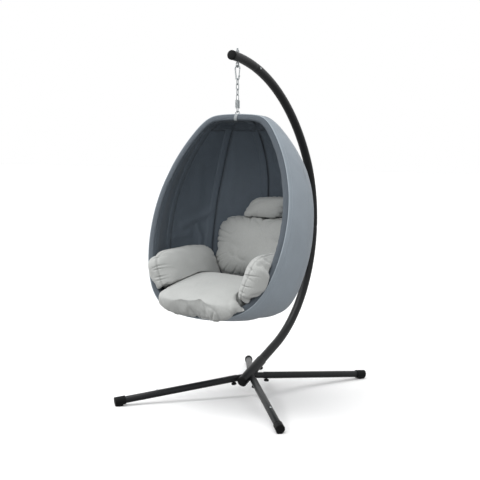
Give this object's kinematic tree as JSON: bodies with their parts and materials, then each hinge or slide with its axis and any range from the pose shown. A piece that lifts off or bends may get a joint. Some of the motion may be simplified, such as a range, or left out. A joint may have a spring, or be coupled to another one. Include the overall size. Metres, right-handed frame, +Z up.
{
  "type": "hanging egg chair",
  "caption": "Egg-shaped fabric basket with seat, arm, back and head cushions, hung by a sprung chain from a curved tubular steel stand on splayed legs.",
  "frame": {"origin": "on the floor under the middle of the chair's overall outline; the hanging axis is 0.261 m in front of it", "axes": "+Z up, the chair faces -Y, +X to the right seen from the front"},
  "size_m": [1.0626, 1.4594, 1.9419],
  "materials": {
    "black_steel": "satin black powder coat",
    "black_plastic": "fine-grained matt black",
    "zinc_steel": "bright zinc plating",
    "shell_fabric": "blue-grey woven polyester",
    "lining_fabric": "dark blue-grey woven polyester",
    "cushion_fabric": "light grey polyester over fibre filling",
    "frame_steel": "dark grey paint"
  },
  "bodies": {
    "stand": {"hub_frame": "black_steel", "hub_end_cap": "black_plastic", "post_lower_tube": "black_steel", "post_upper_tube": "black_steel", "post_top_arm": "black_steel", "mid_joint_sleeve": "frame_steel", "top_joint_sleeve": "frame_steel", "post_top_cap": "black_plastic", "mid_joint_bolt": "zinc_steel", "mid_joint_nut": "zinc_steel", "top_joint_screw": "zinc_steel", "eye_bolt": "zinc_steel", "eye_washer": "zinc_steel", "eye_nut": "zinc_steel", "leg_front_left": "black_steel", "foot_cap_front_left": "black_plastic", "leg_front_right": "black_steel", "foot_cap_front_right": "black_plastic", "leg_rear_left": "black_steel", "foot_cap_rear_left": "black_plastic", "leg_rear_right": "black_steel", "foot_cap_rear_right": "black_plastic", "leg_screw_front_left": "zinc_steel", "leg_screw_front_right": "zinc_steel"},
    "snap_hook": {"snap_hook_body": "zinc_steel", "snap_hook_pin": "zinc_steel"},
    "hook_gate": {"snap_hook_gate": "zinc_steel"},
    "chain": {"chain_link_1": "zinc_steel", "chain_link_2": "zinc_steel", "chain_link_3": "zinc_steel", "spring_upper_bar": "zinc_steel", "spring_coil": "zinc_steel"},
    "lower_bar": {"spring_lower_bar": "zinc_steel"},
    "basket": {"hanger_loop": "zinc_steel", "rim_hoop": "frame_steel", "basket_shell": "shell_fabric", "basket_lining": "lining_fabric", "rib_centre": "frame_steel", "rib_left_rear": "frame_steel", "rib_left_side": "frame_steel", "rib_right_rear": "frame_steel", "rib_right_side": "frame_steel", "base_plate": "frame_steel", "crown_plate": "frame_steel", "seat_cushion": "cushion_fabric", "arm_cushion_left": "cushion_fabric", "arm_cushion_right": "cushion_fabric", "back_cushion": "cushion_fabric", "head_pillow": "cushion_fabric"},
    "knob_front_left": {"leg_knob_front_left": "black_plastic"},
    "knob_front_right": {"leg_knob_front_right": "black_plastic"},
    "knob_rear_left": {"leg_knob_rear_left": "black_plastic"},
    "knob_rear_right": {"leg_knob_rear_right": "black_plastic"},
    "knob_post": {"post_knob": "black_plastic"}
  },
  "joints": [
    {"name": "swing_fore_aft", "type": "hinge", "parent": "stand", "child": "snap_hook", "pos_m": [0, -0.26146, 1.84872], "axis": [1, 0, 0], "range_deg": [-12, 12]},
    {"name": "hook_gate_open", "type": "hinge", "parent": "snap_hook", "child": "hook_gate", "pos_m": [0.00966, -0.26146, 1.792], "axis": [0, -1, 0], "range_deg": [0, 22]},
    {"name": "sway_sideways", "type": "hinge", "parent": "snap_hook", "child": "chain", "pos_m": [0, -0.26146, 1.77987], "axis": [0, 1, 0], "range_deg": [-10, 10]},
    {"name": "spring_bounce", "type": "slide", "parent": "chain", "child": "lower_bar", "axis": [0, 0, -1], "range_m": [0, 0.011], "deforming": ["spring_coil"]},
    {"name": "basket_turn", "type": "hinge", "parent": "lower_bar", "child": "basket", "pos_m": [0, -0.26146, 1.6], "axis": [0, 0, 1], "range_deg": [-20, 20]},
    {"name": "knob_turn_front_left", "type": "hinge", "parent": "stand", "child": "knob_front_left", "pos_m": [-0.06832, -0.19173, 0.09779], "axis": [0.0685, 0.0805, -0.9944], "continuous": true},
    {"name": "knob_turn_front_right", "type": "hinge", "parent": "stand", "child": "knob_front_right", "pos_m": [0.06832, -0.19173, 0.09779], "axis": [-0.0685, 0.0805, -0.9944], "continuous": true},
    {"name": "knob_turn_rear_left", "type": "hinge", "parent": "stand", "child": "knob_rear_left", "pos_m": [-0.05397, -0.02092, 0.09779], "axis": [0.0541, -0.0908, -0.9944], "continuous": true},
    {"name": "knob_turn_rear_right", "type": "hinge", "parent": "stand", "child": "knob_rear_right", "pos_m": [0.05397, -0.02092, 0.09779], "axis": [-0.0541, -0.0908, -0.9944], "continuous": true},
    {"name": "knob_turn_post", "type": "hinge", "parent": "stand", "child": "knob_post", "pos_m": [0, -0.01237, 0.16486], "axis": [0, 0.3437, -0.9391], "continuous": true}
  ]
}
